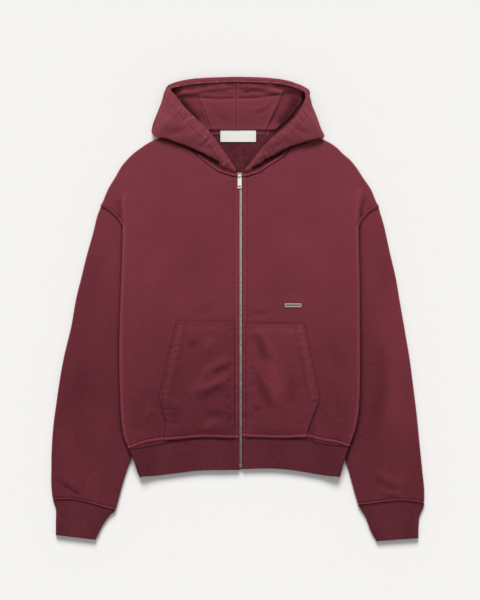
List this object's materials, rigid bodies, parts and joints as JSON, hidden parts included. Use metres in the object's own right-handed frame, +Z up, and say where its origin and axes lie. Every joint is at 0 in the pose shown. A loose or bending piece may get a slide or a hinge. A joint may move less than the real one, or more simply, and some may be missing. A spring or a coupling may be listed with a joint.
{
  "type": "zip up hoodie",
  "caption": "Zip up hooded sweatshirt laid flat on its back: open hood, dropped shoulders, patch pockets, rib waistband and cuffs, metal zip.",
  "frame": {"origin": "on the surface that the garment lies on, under the middle of its outline", "axes": "+Z up, away from that surface; +Y towards the hood, -Y towards the cuffs; the wearer's left side is at +X"},
  "size_m": [0.7453, 0.9272, 0.0275],
  "materials": {
    "fleece": "heavy cotton jersey, matt",
    "rib": "fine rib knit, matt",
    "tape": "woven polyester tape",
    "label": "smooth white woven satin, blank",
    "zip_metal": "aged nickel, satin",
    "pull_metal": "polished nickel",
    "badge_metal": "brushed, blank"
  },
  "bodies": {
    "garment": {"front_right": "fleece", "pocket_right": "fleece", "sleeve_right": "fleece", "hood_right": "fleece", "cuff_right": "rib", "hood_lining_right": "fleece", "zip_tape_right": "tape", "front_left": "fleece", "pocket_left": "fleece", "sleeve_left": "fleece", "hood_left": "fleece", "cuff_left": "rib", "hood_lining_left": "fleece", "zip_tape_left": "tape", "back": "fleece", "waistband": "rib", "neck_tape": "tape", "neck_label": "label", "zip_chain": "zip_metal", "zip_box": "zip_metal", "zip_slider": "pull_metal", "badge": "badge_metal"},
    "zip_pull": {"zip_pull": "pull_metal"}
  },
  "joints": [
    {"name": "zip_pull_hinge", "type": "hinge", "parent": "garment", "child": "zip_pull", "pos_m": [0.0039, 0.2651, 0.0126], "axis": [-1, 0, 0], "range_deg": [0, 170]}
  ]
}
